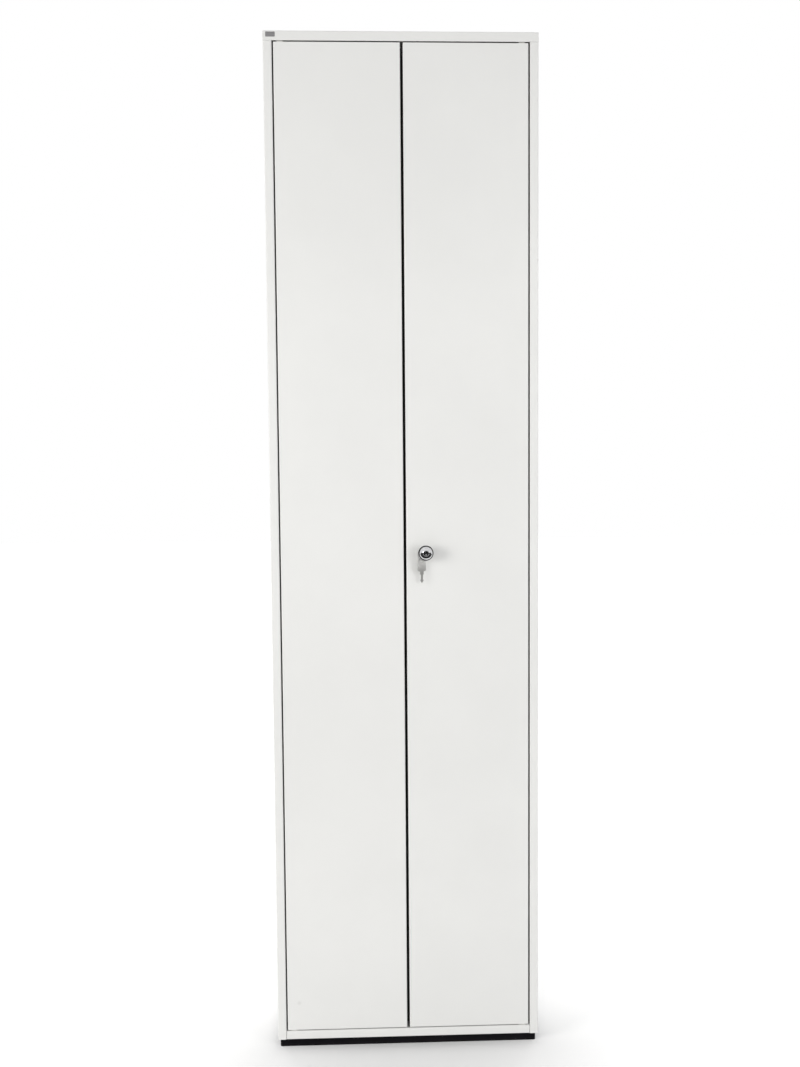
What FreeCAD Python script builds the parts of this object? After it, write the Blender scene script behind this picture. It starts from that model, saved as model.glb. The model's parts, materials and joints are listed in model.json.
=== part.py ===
import FreeCAD
import Part
import math
import os

# A tall two-door steel broom cupboard: folded sheet carcass on a low plinth, two inset doors,
# a turning knob that drives two locking rods and a tongue, shelves and broom hooks inside.
# X runs to the right, Y to the back, Z up. The origin is the middle of the footprint on the floor.

# Overall sizes
width = 500.0
depth = 420.0
height = 1900.0

# Sheet metal and clearances
sheet = 1.0
bend_radius = 1.0
fit_gap = 0.3
turn_gap = 0.05
overrun = 10.0

# Carcass
stile_width = 16.0
top_rail_height = 17.5
bottom_rail_height = 16.5
back_flange = 16.0
stop_lip = 12.0
stop_gap = 6.0
head_upstand = 13.0
floor_upstand = 20.0
wall_hole_radius = 3.5
wall_hole_span = 360.0
wall_hole_drop = 110.0

# Plinth and levelling feet
plinth_height = 20.0
plinth_front_setback = 12.0
plinth_side_setback = 3.0
plinth_sheet = 1.5
plinth_corner_radius = 4.0
plinth_top_flange = 44.0
plinth_bottom_flange = 12.0
foot_inset = 27.0
foot_across_flats = 22.0
foot_head_height = 6.0
stud_radius = 4.0
stud_headroom = 2.0
stud_slot_width = 1.4
stud_slot_depth = 2.0
foot_nut_width = 16.0
plug_width = 20.0
plug_head = 1.5
plug_stem_width = 14.0
plug_stem_length = 1.0

# Doors
door_thickness = 20.0
door_gap = 2.5
meeting_gap = 5.0
door_flange = 15.0
stiffener_width = 60.0
stiffener_flange = 12.0
stiffener_shift = 25.0
stiffener_end_gap = 30.0
seal_width = 3.2
seal_depth = 8.0
seal_setback = 6.0
seal_round = 1.5
seal_end_gap = 8.0

# Door pivots and their bushes
pivot_inset = 12.0
pivot_depth = 8.0
pin_radius = 3.0
pin_shoulder = 8.0
pin_end_gap = 1.0
pivot_plate_width = 19.0
pivot_plate_front = 5.0
pivot_plate_back = 9.0
pivot_plate_thickness = 3.0
bush_width = 9.0
bush_flange_width = 11.0
bush_length = 8.0

# Door stops and magnet catch
buffer_width = 9.0
buffer_from_middle = 90.0
magnet_width = 40.0
magnet_height = 10.0
magnet_from_middle = 20.0
magnet_pole = 3.0
magnet_pole_proud = 0.8

# Lock on the right door, with its axis square to the door
lock_backset = 35.5
lock_height = 954.0
rosette_radius = 10.5
rosette_thickness = 1.5
barrel_width = 18.0
barrel_length = 7.0
clip_groove = 1.5
clip_gauge = 1.2
clip_arm = 6.0
spindle_radius = 5.5
spindle_square = 6.0
spindle_tip_square = 4.6
neck_radius = 7.5
neck_length = 12.2
head_radius = 12.2
head_rim = 6.5
dome_height = 5.5
dome_bands = 2
grip_radius = 14.0
grip_length = 4.2
grip_facets = 20
cylinder_radius = 5.0
cylinder_depth = 10.0
keyway_width = 1.9
keyway_height = 6.5
keyway_depth = 8.0

# Crank, rods and tongue behind the door skin
crank_radius = 12.0
crank_pin_radius = 2.0
crank_pin_overhang = 1.3
crank_thickness = 3.0
crank_rim = 2.5
crank_width = 12.0
crank_turn = 90.0
yoke_play = 0.55
rod_wall = 1.3
rod_thickness = 3.0
rod_front_gap = 0.7
rod_end_chamfer = 2.5
rod_end_clear = 6.0
rod_end_length = 34.0
rod_step = 20.0
rod_lap = 24.0
rod_keeper_gap = 1.0
guide_wall = 5.0
guide_back = 2.5
guide_height = 14.0
guide_near = 60.0
guide_end = 112.0
keeper_width = 40.0
keeper_height = 13.5
keeper_base = 18.0
keeper_thickness = 2.0
tongue_overlap = 12.0
tongue_width = 16.0
tongue_corner = 4.0
tongue_thickness = 3.0
tongue_gap = 0.5
screw_across_flats = 8.0
screw_head_height = 2.5
screw_radius = 1.5
screw_length = 7.0

# Key ring on the knob's neck, and its key
ring_inner_radius = 11.5
ring_wire_radius = 0.8
ring_facets = 24
wire_facets = 6
ring_out = 8.0
ring_lean = 35.0
key_lean = 25.0
key_turn = 30.0
key_drop = 0.3
key_thickness = 1.8
bow_width = 18.0
bow_height = 25.5
bow_top_radius = 6.0
bow_bottom_radius = 4.0
bow_hole_width = 10.0
bow_hole_height = 6.5
bow_hole_wall = 2.0
collar_width = 7.0
collar_height = 6.0
blade_width = 6.2
blade_waist = 3.6
blade_length = 15.5
blade_tip = 4.0

# Shelves, strips, clips and divider
strip_width = 24.0
strip_depth = 8.0
strip_front = 76.0
strip_back = 52.0
strip_foot = 20.0
strip_top_gap = 30.0
slot_rise = 125.0
slot_width = 14.0
slot_height = 4.0
shelf_thickness = 25.0
shelf_front = 48.0
shelf_back_gap = 8.0
shelf_end_gap = 0.5
shelf_flange = 12.0
top_shelf_room = 300.0
side_shelf_shares = (0.2, 0.45, 0.75)
clip_width = 12.0
clip_thickness = 2.0
clip_ledge = 11.0
clip_tail = 4.0
clip_leg = 12.0
divider_thickness = 16.0
divider_face = 30.0
divider_flange = 14.0

# Broom hooks on a rail under the top shelf
rail_length = 226.0
rail_height = 30.0
rail_depth = 10.0
rail_end_gap = 10.0
rail_drop = 90.0
hook_count = 3
hook_width = 14.0
hook_plate_height = 26.0
hook_thickness = 3.0
hook_reach = 42.0
hook_rise = 18.0

# Planes and lines that the pieces share
front = -depth / 2
back = depth / 2
left = -width / 2
right = width / 2
back_face = back - 2 * sheet
floor_top = plinth_height + bottom_rail_height
soffit = height - top_rail_height
lip_front = front + door_thickness + stop_gap
door_bottom = floor_top + door_gap
door_top = soffit - door_gap
door_outer = width / 2 - stile_width - door_gap
pivot_x = door_outer - pivot_inset
pivot_y = front + pivot_depth
pin_reach = door_gap + bush_length - pin_end_gap
lock_x = meeting_gap / 2 + lock_backset
crank_front = barrel_length + fit_gap
rod_front = crank_front + crank_thickness + rod_front_gap
rod_back = rod_front + rod_thickness
keeper_back = lip_front + sheet + keeper_thickness
tongue_front = door_thickness + tongue_gap
pin_half_chord = crank_radius * math.cos(math.radians(crank_turn / 2))
yoke_length = crank_radius - pin_half_chord + 2 * (crank_pin_radius + yoke_play)
yoke_height = 2 * (crank_pin_radius + yoke_play)
rod_width = yoke_length + 2 * rod_wall
rod_offset = (crank_radius + pin_half_chord) / 2
web_x = width / 2 - sheet - strip_depth
first_slot = floor_top + strip_foot + slot_rise
top_shelf_slot = int((soffit - top_shelf_room - first_slot) // slot_rise)
side_shelf_slots = [round(share * top_shelf_slot) for share in side_shelf_shares]
shelf_depth = (front + shelf_front, back_face - shelf_back_gap)
UP = FreeCAD.Vector(0, 0, 1)
ACROSS = FreeCAD.Vector(1, 0, 0)
INWARD = FreeCAD.Vector(0, 1, 0)
ORIGIN = FreeCAD.Vector(0, 0, 0)


def block(x, y, z):
    """Box between a low and a high value on each axis."""
    corner = FreeCAD.Vector(x[0], y[0], z[0])
    return Part.makeBox(x[1] - x[0], y[1] - y[0], z[1] - z[0], corner)


def about(middle, size):
    """Low and high value of a size centred on a point."""
    return (middle - size / 2, middle + size / 2)


def bar(radius, start, direction, length):
    """Round bar from a start point along a direction."""
    return Part.makeCylinder(radius, length, start, direction)


def rounded_loop(points, radii):
    """Face inside a closed outline whose corners are rounded by the given radii."""
    entries = []
    exits = []
    arcs = []
    for index, corner in enumerate(points):
        before = (points[index - 1] - corner).normalize()
        after = (points[(index + 1) % len(points)] - corner).normalize()
        radius = radii[index]
        half = before.getAngle(after) / 2
        reach = radius / math.tan(half)
        entries.append(corner + before * reach)
        exits.append(corner + after * reach)
        middle = corner + (before + after).normalize() * (radius / math.sin(half) - radius)
        arcs.append(Part.Arc(entries[-1], middle, exits[-1]).toShape() if radius else None)
    edges = []
    for index, arc in enumerate(arcs):
        if arc:
            edges.append(arc)
        start = exits[index]
        end = entries[(index + 1) % len(points)]
        if not start.isEqual(end, turn_gap):
            edges.append(Part.makeLine(start, end))
    return Part.Face(Part.Wire(edges))


def folded_sheet(outline, axis_u, axis_v, run, start=ORIGIN, gauge=sheet, bend=bend_radius):
    """Sheet folded along an open outline, laid on its left side, then drawn out along run."""
    points = [FreeCAD.Vector(u, v, 0) for u, v in outline]
    normals = []
    for first, second in zip(points, points[1:]):
        heading = (second - first).normalize()
        normals.append(FreeCAD.Vector(-heading.y, heading.x, 0))
    far_side = [points[0] + normals[0] * gauge]
    turns = []
    for corner, first, second in zip(points[1:], normals, normals[1:]):
        far_side.append(corner + (first + second) * (gauge / (1 + first.dot(second))))
        turns.append(first.cross(second).z)
    far_side.append(points[-1] + normals[-1] * gauge)
    outer = bend + gauge if bend else 0
    near_radii = [outer if turn > 0 else bend for turn in turns]
    far_radii = [bend if turn > 0 else outer for turn in turns]
    loop = points + far_side[::-1]
    radii = [0, *near_radii, 0, 0, *far_radii[::-1], 0]
    placed = [start + axis_u * point.x + axis_v * point.y for point in loop]
    return rounded_loop(placed, radii).extrude(run)


def edges_along(shape, axis):
    """Straight edges of a box that run along the given axis."""
    spans = {"x": "XLength", "y": "YLength", "z": "ZLength"}
    return [edge for edge in shape.Edges if getattr(edge.BoundBox, spans[axis]) > edge.Length / 2]


def folded_pan(x, y, z, opening, flange, bends, bends_behind):
    """Tray folded from one sheet: a face, four walls and a flange round its open side."""
    shell = block(x, y, z)
    rounded = edges_along(shell, bends)
    if not bends_behind:
        rounded = [edge for edge in rounded if edge.CenterOfMass.y < shell.CenterOfMass.y]
    shell = shell.makeFillet(bend_radius + sheet, rounded)
    inside = [(low + sheet, high - sheet) for low, high in (x, y, z)]
    window = [(low + flange, high - flange) for low, high in (x, y, z)]
    axis = "xyz".index(opening[1])
    low, high = (x, y, z)[axis]
    if opening[0] == "+":
        window[axis] = (high - 2 * sheet, high + overrun)
    else:
        window[axis] = (low - overrun, low + 2 * sheet)
    return shell.cut(block(*inside)).cut(block(*window))


def turned(profile):
    """Solid of revolution about Z from radius and height pairs."""
    points = [FreeCAD.Vector(radius, 0, level) for radius, level in profile]
    face = Part.Face(Part.makePolygon([*points, points[0]]))
    return face.revolve(ORIGIN, UP, 360)


def regular_bar(sides, across_flats, low, high):
    """Bar about Z between two levels, with a regular number of flat sides."""
    turn = 360 / sides
    corner = across_flats / (2 * math.cos(math.radians(turn / 2)))
    points = []
    for index in range(sides + 1):
        angle = math.radians(turn * index)
        points.append(FreeCAD.Vector(corner * math.cos(angle), corner * math.sin(angle), low))
    return Part.Face(Part.makePolygon(points)).extrude(UP * (high - low))


def hexagon(across_flats, low, high):
    """Hexagon bar about Z between two levels."""
    return regular_bar(6, across_flats, low, high)


def mirrored(shape):
    """Copy on the other side of the cupboard's middle plane."""
    return shape.mirror(ORIGIN, ACROSS)


def on_lock(shape):
    """Stands a shape drawn with X right, Y up and Z out of the door on the lock's axis."""
    placed = shape.copy()
    placed.rotate(ORIGIN, ACROSS, 90)
    placed.translate(FreeCAD.Vector(lock_x, front, lock_height))
    return placed


def side_panel():
    """Left side: back flange, wall, stile, jamb and stop lip, with a flange at each end."""
    jamb = left + stile_width
    outline = [
        (left + back_flange, back),
        (left, back),
        (left, front),
        (jamb, front),
        (jamb, lip_front),
        (jamb + stop_lip, lip_front),
    ]
    top = soffit - fit_gap
    run = UP * (top - plinth_height)
    panel = folded_sheet(outline, ACROSS, INWARD, run, UP * plinth_height)
    for level in (plinth_height, top - sheet):
        across = (left + sheet, jamb)
        along = (front + sheet, back_face - fit_gap)
        panel = panel.fuse(block(across, along, (level, level + sheet)))
    notch_x = (jamb, jamb + stop_lip + overrun)
    notch_y = (lip_front - overrun, lip_front + overrun)
    notch = block(notch_x, notch_y, (plinth_height - overrun, floor_top + fit_gap))
    return panel.cut(notch).removeSplitter()


def pivot_points():
    """Hinge axes of the left and the right door."""
    return [(-pivot_x, pivot_y), (pivot_x, pivot_y)]


def rod_places():
    """Middle of the upper and the lower rod across the cupboard."""
    return (lock_x - rod_offset, lock_x + rod_offset)


def top_panel():
    """Cap with a rail folded down in front and flanges round its other sides."""
    shell = block((left, right), (front, back), (soffit, height))
    rounded = [edge for edge in shell.Edges if edge.CenterOfMass.z > height - sheet]
    shell = shell.makeFillet(bend_radius + sheet, rounded)
    inside_z = (soffit + sheet, height - sheet)
    hollow = block((left + sheet, right - sheet), (front + sheet, back - sheet), inside_z)
    window_x = (left + stile_width, right - stile_width)
    window_y = (front + sheet, back - back_flange)
    window = block(window_x, window_y, (soffit - overrun, soffit + 2 * sheet))
    return shell.cut(hollow).cut(window)


def door_head():
    """Strip behind the top rail: a weld flange, the soffit over the doors and their stop lip."""
    behind_rail = front + sheet
    outline = [
        (behind_rail, soffit + head_upstand),
        (behind_rail, soffit),
        (lip_front, soffit),
        (lip_front, soffit - stop_lip),
    ]
    half = width / 2 - stile_width - fit_gap
    head = folded_sheet(outline, INWARD, UP, ACROSS * (2 * half), ACROSS * -half, sheet, 0)
    lip_room = (half - stop_lip, half + overrun)
    lip_z = (soffit - stop_lip - overrun, soffit)
    corner = block(lip_room, (lip_front - sheet, lip_front + overrun), lip_z)
    head = head.cut(corner).cut(mirrored(corner))
    for x, y in pivot_points():
        head = head.cut(bush_hole(x, y, (soffit - fit_gap, soffit + 2 * sheet)))
    return head


def foot_points():
    """Middles of the four levelling feet."""
    x = width / 2 - plinth_side_setback - foot_inset
    y_front = front + plinth_front_setback + foot_inset
    y_back = back - plinth_side_setback - foot_inset
    return {
        "front_left": (-x, y_front),
        "front_right": (x, y_front),
        "back_left": (-x, y_back),
        "back_right": (x, y_back),
    }


def floor_panel():
    """Cupboard floor with the bottom rail folded down in front and an upstand behind."""
    upstand = back_face - sheet
    outline = [
        (upstand, floor_top + floor_upstand),
        (upstand, floor_top),
        (front, floor_top),
        (front, plinth_height),
        (lip_front, plinth_height),
    ]
    half = width / 2 - sheet - fit_gap
    start = ACROSS * -half
    panel = folded_sheet(outline, INWARD, UP, ACROSS * (2 * half), start)
    corner_y = lip_front + sheet + fit_gap
    stile_x = (left - overrun, left + stile_width + fit_gap)
    stile_room = block(stile_x, (front - overrun, corner_y), (0, floor_top + overrun))
    wing_y = (corner_y, back_face - fit_gap)
    wing = block((-half, -half + sheet), wing_y, (plinth_height + sheet, floor_top))
    panel = panel.cut(stile_room).cut(mirrored(stile_room))
    panel = panel.fuse([wing, mirrored(wing)])
    through = (floor_top - 2 * sheet, floor_top + fit_gap)
    for x, y in pivot_points():
        panel = panel.cut(bush_hole(x, y, through))
    for x, y in foot_points().values():
        plug_hole = plug_stem_width + 2 * turn_gap
        panel = panel.cut(block(about(x, plug_hole), about(y, plug_hole), through))
    return panel.removeSplitter()


def back_panel():
    """Plain back sheet with two holes for fixing the cupboard to a wall."""
    half = width / 2 - sheet - bend_radius - fit_gap
    panel_z = (plinth_height + sheet + fit_gap, soffit - sheet - fit_gap)
    panel = block((-half, half), (back_face, back_face + sheet), panel_z)
    for x in about(0, wall_hole_span):
        start = FreeCAD.Vector(x, back_face - overrun, height - wall_hole_drop)
        panel = panel.cut(bar(wall_hole_radius, start, INWARD, sheet + 2 * overrun))
    return panel


def plinth():
    """Base frame of C section, set back under the carcass."""
    x = width / 2 - plinth_side_setback
    y = (front + plinth_front_setback, back - plinth_side_setback)
    frame = block((-x, x), y, (0, plinth_height))
    frame = frame.makeFillet(plinth_corner_radius, edges_along(frame, "z"))
    levels = {
        plinth_sheet: (plinth_sheet, plinth_height - plinth_sheet),
        plinth_bottom_flange: (-overrun, plinth_height / 2),
        plinth_top_flange: (plinth_height / 2, plinth_height + overrun),
    }
    for inset, z in levels.items():
        frame = frame.cut(block((-x + inset, x - inset), (y[0] + inset, y[1] - inset), z))
    for x_foot, y_foot in foot_points().values():
        hole = 2 * (stud_radius + fit_gap)
        through = (plinth_height - 2 * plinth_sheet, plinth_height + overrun)
        frame = frame.cut(block(about(x_foot, hole), about(y_foot, hole), through))
    return frame.removeSplitter()


def foot_nuts():
    """Square nuts welded under the plinth's top flange."""
    side = about(0, foot_nut_width)
    nut = block(side, side, (foot_head_height + fit_gap, plinth_height - plinth_sheet))
    nut = nut.cut(bar(stud_radius + turn_gap, ORIGIN, UP, plinth_height))
    return [nut.translated(FreeCAD.Vector(x, y, 0)) for x, y in foot_points().values()]


def levelling_foot(x, y):
    """Hexagon foot on a threaded stud, slotted at the top for a screwdriver."""
    stud_top = floor_top - sheet - stud_headroom
    foot = hexagon(foot_across_flats, 0, foot_head_height)
    foot = foot.fuse(bar(stud_radius, ORIGIN, UP, stud_top)).removeSplitter()
    slot_y = about(0, stud_slot_width)
    slot_z = (stud_top - stud_slot_depth, stud_top + overrun)
    foot = foot.cut(block(about(0, 4 * stud_radius), slot_y, slot_z))
    return foot.translated(FreeCAD.Vector(x, y, 0))


def floor_plugs():
    """Square plugs that close the holes over the levelling feet."""
    under = floor_top - sheet - plug_stem_length
    plugs = []
    for x, y in foot_points().values():
        stem = block(about(x, plug_stem_width), about(y, plug_stem_width), (under, floor_top))
        head_z = (floor_top, floor_top + plug_head)
        head = block(about(x, plug_width), about(y, plug_width), head_z)
        plugs.append(head.fuse(stem))
    return plugs


def bush_hole(x, y, z):
    """Square hole that a hinge bush is pressed into."""
    side = bush_width + 2 * turn_gap
    return block(about(x, side), about(y, side), z)


def hinge_bushes():
    """Square bushes pressed into the bottom rail and the soffit, below and above each door."""
    shank = about(0, bush_width)
    collar = about(0, bush_flange_width)
    flange = door_gap - fit_gap
    bush = block(shank, shank, (-bush_length, 0)).fuse(block(collar, collar, (0, flange)))
    bore = bar(pin_radius + turn_gap, UP * -bush_length, UP, bush_length + flange)
    bush = bush.cut(bore)
    upper = bush.mirror(ORIGIN, UP)
    places = []
    for x, y in pivot_points():
        places.append(bush.translated(FreeCAD.Vector(x, y, floor_top)))
        places.append(upper.translated(FreeCAD.Vector(x, y, soffit)))
    return places


def door_pivots(x):
    """Upper and lower pivot of a door: a plate inside the pan, a square shoulder and a pin."""
    plate_y = (-pivot_plate_front, pivot_plate_back)
    plate_z = (-sheet - pivot_plate_thickness, -sheet)
    plate = block(about(0, pivot_plate_width), plate_y, plate_z)
    shoulder = block(about(0, pin_shoulder), about(0, pin_shoulder), (-sheet, 0))
    upper = plate.fuse([shoulder, bar(pin_radius, ORIGIN, UP, pin_reach)])
    lower = upper.mirror(ORIGIN, UP)
    return [
        upper.translated(FreeCAD.Vector(x, pivot_y, door_top)),
        lower.translated(FreeCAD.Vector(x, pivot_y, door_bottom)),
    ]


def door_panel():
    """Left door: a folded pan with a square hole for each pivot's shoulder."""
    pan_x = (-door_outer, -meeting_gap / 2)
    pan_y = (front, front + door_thickness)
    panel = folded_pan(pan_x, pan_y, (door_bottom, door_top), "+y", door_flange, "z", True)
    hole = pin_shoulder + 2 * turn_gap
    for level in (door_bottom, door_top):
        through = about(level, 4 * sheet)
        panel = panel.cut(block(about(-pivot_x, hole), about(pivot_y, hole), through))
    return panel


def right_door_panel():
    """Right door: the same pan with the lock's hole."""
    hole = barrel_width + 2 * turn_gap
    through = (front - overrun, front + 2 * sheet)
    return mirrored(door_panel()).cut(block(about(lock_x, hole), through, about(lock_height, hole)))


def door_stiffener():
    """Hat section welded upright behind the left door's skin."""
    middle = -(meeting_gap / 2 + door_outer) / 2 - stiffener_shift
    near, far = about(middle, stiffener_width)
    skin = front + sheet
    crown = front + door_thickness - 2 * sheet
    outline = [
        (near - stiffener_flange, skin),
        (near, skin),
        (near, crown),
        (far, crown),
        (far, skin),
        (far + stiffener_flange, skin),
    ]
    low = door_bottom + stiffener_end_gap
    run = UP * (door_top - stiffener_end_gap - low)
    return folded_sheet(outline, ACROSS, INWARD, run, UP * low, bend=0)


def dust_seal():
    """Rubber strip on the left door's meeting edge."""
    edge = -meeting_gap / 2
    low = door_bottom + seal_end_gap
    near = front + seal_setback
    points = [
        FreeCAD.Vector(edge, near, low),
        FreeCAD.Vector(edge + seal_width, near, low),
        FreeCAD.Vector(edge + seal_width, near + seal_depth, low),
        FreeCAD.Vector(edge, near + seal_depth, low),
    ]
    face = rounded_loop(points, [0, seal_round, seal_round, 0])
    return face.extrude(UP * (door_top - seal_end_gap - low))


def door_buffers():
    """Rubber pads on the stop lip, one behind each door."""
    pad = (lip_front - stop_gap + fit_gap, lip_front)
    z = about(soffit - (stop_lip + door_gap) / 2, buffer_width)
    return [block(about(x, buffer_width), pad, z) for x in (-buffer_from_middle, buffer_from_middle)]


def magnet_catch():
    """Magnet in a plastic case on the stop lip, with two steel poles towards the left door."""
    x = (-magnet_from_middle - magnet_width, -magnet_from_middle)
    z = (soffit - stop_lip, soffit - stop_lip + magnet_height)
    face = lip_front - stop_gap + fit_gap
    case = block(x, (face + magnet_pole_proud, lip_front), z)
    poles = []
    for end in (x[0] + magnet_pole, x[1] - 2 * magnet_pole):
        pole_z = (z[0] + magnet_pole / 2, z[1] - magnet_pole / 2)
        poles.append(block((end, end + magnet_pole), (face, lip_front), pole_z))
    return case.fuse(poles).removeSplitter()


def clip_level():
    """Low and high level of the spring clip behind the door's skin."""
    return (-sheet - clip_gauge, -sheet)


def lock_barrel():
    """Fixed square body of the lock, with a round rosette and a groove on each side."""
    square = about(0, barrel_width)
    body = block(square, square, (-barrel_length, 0))
    body = body.fuse(bar(rosette_radius, ORIGIN, UP, rosette_thickness))
    low, high = clip_level()
    for start in (-barrel_width / 2, barrel_width / 2 - clip_groove):
        body = body.cut(block((start, start + clip_groove), square, (low - turn_gap, high)))
    bore = bar(spindle_radius + turn_gap, UP * -overrun, UP, 2 * overrun)
    return on_lock(body.cut(bore))


def lock_clip():
    """U-shaped spring clip in the barrel's grooves that holds it in the door."""
    throat = barrel_width - 2 * clip_groove + 2 * turn_gap
    span = about(0, throat + 2 * clip_arm)
    low = -barrel_width / 2
    plate = block(span, (low, barrel_width / 2 + clip_arm), clip_level())
    slot = block(about(0, throat), (low, barrel_width / 2 + turn_gap), clip_level())
    return on_lock(plate.cut(slot))


def dome_radius():
    """Radius of the sphere that the knob's front is part of."""
    return (head_radius ** 2 + dome_height ** 2) / (2 * dome_height)


def head_back():
    """Distance from the door to the back of the knob's head."""
    return rosette_thickness + fit_gap + neck_length


def dome_side():
    """Distance from the door to the edge of the knob's dome."""
    return head_back() + head_rim


def dome_level(radius):
    """Distance from the door to the dome at a given radius."""
    ball = dome_radius()
    return dome_side() + dome_height - ball + math.sqrt(ball ** 2 - radius ** 2)


def dome_profile(inner, outer):
    """Points along the dome between two radii."""
    step = (outer - inner) / dome_bands
    radii = [inner + index * step for index in range(dome_bands + 1)]
    return [(radius, dome_level(radius)) for radius in radii]


def plug_bottom():
    """Distance from the door to the inner end of the lock plug."""
    return dome_level(cylinder_radius) - cylinder_depth


def knob():
    """Domed turning knob with its neck, round spindle and squared tail in one piece."""
    seat = rosette_thickness + fit_gap
    bore = cylinder_radius + turn_gap
    bottom = plug_bottom() - fit_gap
    body = turned([
        *dome_profile(bore, head_radius),
        (head_radius, head_back()),
        (neck_radius, head_back()),
        (neck_radius, seat),
        (spindle_radius, seat),
        (spindle_radius, -crank_front),
        (0, -crank_front),
        (0, bottom),
        (bore, bottom),
    ])
    square = about(0, spindle_square)
    tip = about(0, spindle_tip_square)
    tip_end = -tongue_front - tongue_thickness + fit_gap
    body = body.fuse([
        block(square, square, (-tongue_front, -crank_front)),
        block(tip, tip, (tip_end, -tongue_front)),
    ])
    screw_room = screw_length + fit_gap
    tapped = bar(screw_radius + turn_gap, UP * tip_end, UP, screw_room)
    return on_lock(body.cut(tapped).removeSplitter())


def knob_grip():
    """Grip ring pressed on the knob's head, in straight facets."""
    low = head_back()
    high = low + grip_length
    ring = regular_bar(grip_facets, 2 * grip_radius, low, high)
    bore = regular_bar(grip_facets, 2 * (head_radius + turn_gap), low - overrun, high + overrun)
    return on_lock(ring.cut(bore))


def lock_cylinder():
    """Lock plug in the knob's face, with its keyway."""
    bottom = plug_bottom()
    plug = bar(cylinder_radius, UP * bottom, UP, cylinder_depth)
    face = bottom + cylinder_depth
    keyway_z = (face - keyway_depth, face + overrun)
    keyway = block(about(0, keyway_width), about(0, keyway_height), keyway_z)
    return on_lock(plug.cut(keyway))


def crank():
    """Two-armed lever on the spindle with one pin for each rod."""
    arm = crank_radius + crank_pin_radius + crank_rim
    rest = crank_turn / 2
    lever_z = (-crank_front - crank_thickness, -crank_front)
    lever = block((-arm, arm), about(0, crank_width), lever_z)
    lever = lever.makeChamfer(crank_rim, edges_along(lever, "z"))
    lever.rotate(ORIGIN, UP, rest)
    pin_end = rod_back + crank_pin_overhang
    pins = []
    for side in (-1, 1):
        start = FreeCAD.Vector(side * pin_half_chord, side * pin_half_chord, -crank_front)
        pins.append(bar(crank_pin_radius, start, UP * -1, pin_end - crank_front))
    square = about(0, spindle_square + 2 * turn_gap)
    drive = block(square, square, (-crank_front - crank_thickness - fit_gap, -crank_front + fit_gap))
    return on_lock(lever.fuse(pins).removeSplitter().cut(drive))


def latch_tongue():
    """Arm on the spindle's tail that swings behind the left door's edge."""
    tip = -(lock_backset + meeting_gap + tongue_overlap)
    z = (-tongue_front - tongue_thickness, -tongue_front)
    arm = block(about(0, tongue_width), (tip, tongue_width / 2), z)
    arm = arm.makeChamfer(tongue_corner, edges_along(arm, "z"))
    square = about(0, spindle_tip_square + 2 * turn_gap)
    return on_lock(arm.cut(block(square, square, z)))


def tongue_screw():
    """Hexagon screw that holds the tongue on the spindle's tail."""
    seat = -tongue_front - tongue_thickness
    head = hexagon(screw_across_flats, seat - screw_head_height, seat)
    shank = bar(screw_radius, UP * seat, UP, screw_length)
    return on_lock(head.fuse(shank).removeSplitter())


def rod_levels(side):
    """Heights above the lock's axis of a rod's tip, and of the near and the far end of its step.

    The side is -1 for the upper rod and 1 for the lower one."""
    tip = soffit - stop_lip - rod_end_clear - lock_height
    if side > 0:
        tip = floor_top + keeper_height + rod_end_clear - lock_height
    step_near = tip + side * rod_end_length
    return tip, step_near, step_near + side * rod_step


def locking_rod(side):
    """Flat rod with a yoke on its crank pin."""
    middle = side * rod_offset
    pin = side * pin_half_chord
    foot = pin + side * (yoke_height / 2 + 2 * rod_wall)
    head = rod_levels(side)[-1]
    rod = block(about(middle, rod_width), (min(foot, head), max(foot, head)), (-rod_back, -rod_front))
    slot_z = (-rod_back - overrun, overrun)
    slot = block(about(middle, yoke_length), about(pin, yoke_height), slot_z)
    return on_lock(rod.cut(slot))


def rod_end(side):
    """Plate welded to the back of a rod and stepped back, so that its tip slides behind the keeper."""
    tip, step_near, step_far = rod_levels(side)
    tip_front = keeper_back + rod_keeper_gap - front
    outline = [
        (tip_front, tip),
        (tip_front, step_near),
        (rod_back, step_far),
        (rod_back, step_far + side * rod_lap),
    ]
    if side > 0:
        outline.reverse()
    start = ACROSS * (side * rod_offset - rod_width / 2)
    plate = folded_sheet(outline, UP * -1, INWARD, ACROSS * rod_width, start, rod_thickness, 0)
    corners = [edge for edge in edges_along(plate, "z") if abs(edge.CenterOfMass.y - tip) < fit_gap]
    return on_lock(plate.makeChamfer(rod_end_chamfer, corners))


def rod_guides():
    """Guide blocks on the right door's skin, two for each rod."""
    upper, lower = rod_places()
    levels = {
        upper: (lock_height + guide_near, door_top - guide_end),
        lower: (lock_height - guide_near, door_bottom + guide_end),
    }
    guides = []
    for middle, heights in levels.items():
        for level in heights:
            outer = about(middle, rod_width + 2 * guide_wall)
            along = (front + sheet, front + rod_back + guide_back)
            body = block(outer, along, about(level, guide_height))
            inner = about(middle, rod_width + 2 * fit_gap)
            channel = (front + rod_front - fit_gap, front + rod_back + fit_gap)
            guides.append(body.cut(block(inner, channel, about(level, 2 * guide_height))))
    return guides


def rod_keepers():
    """Plate behind the stop lip and angle on the floor, which the rods' ends slide behind."""
    upper, lower = rod_places()
    near = lip_front + sheet
    plate = block(about(upper, keeper_width), (near, keeper_back), (soffit - stop_lip, soffit))
    outline = [
        (near, floor_top + keeper_height),
        (near, floor_top),
        (keeper_back + keeper_base, floor_top),
    ]
    start = ACROSS * (lower - keeper_width / 2)
    angle = folded_sheet(outline, INWARD, UP, ACROSS * keeper_width, start, keeper_thickness, 0)
    return [plate, angle]


def ring_middle():
    """Middle of the key ring as it hangs on the knob's neck."""
    hang = ring_inner_radius - neck_radius - fit_gap
    lean = math.radians(ring_lean)
    return FreeCAD.Vector(-hang * math.sin(lean), -hang * math.cos(lean), ring_out)


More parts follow.
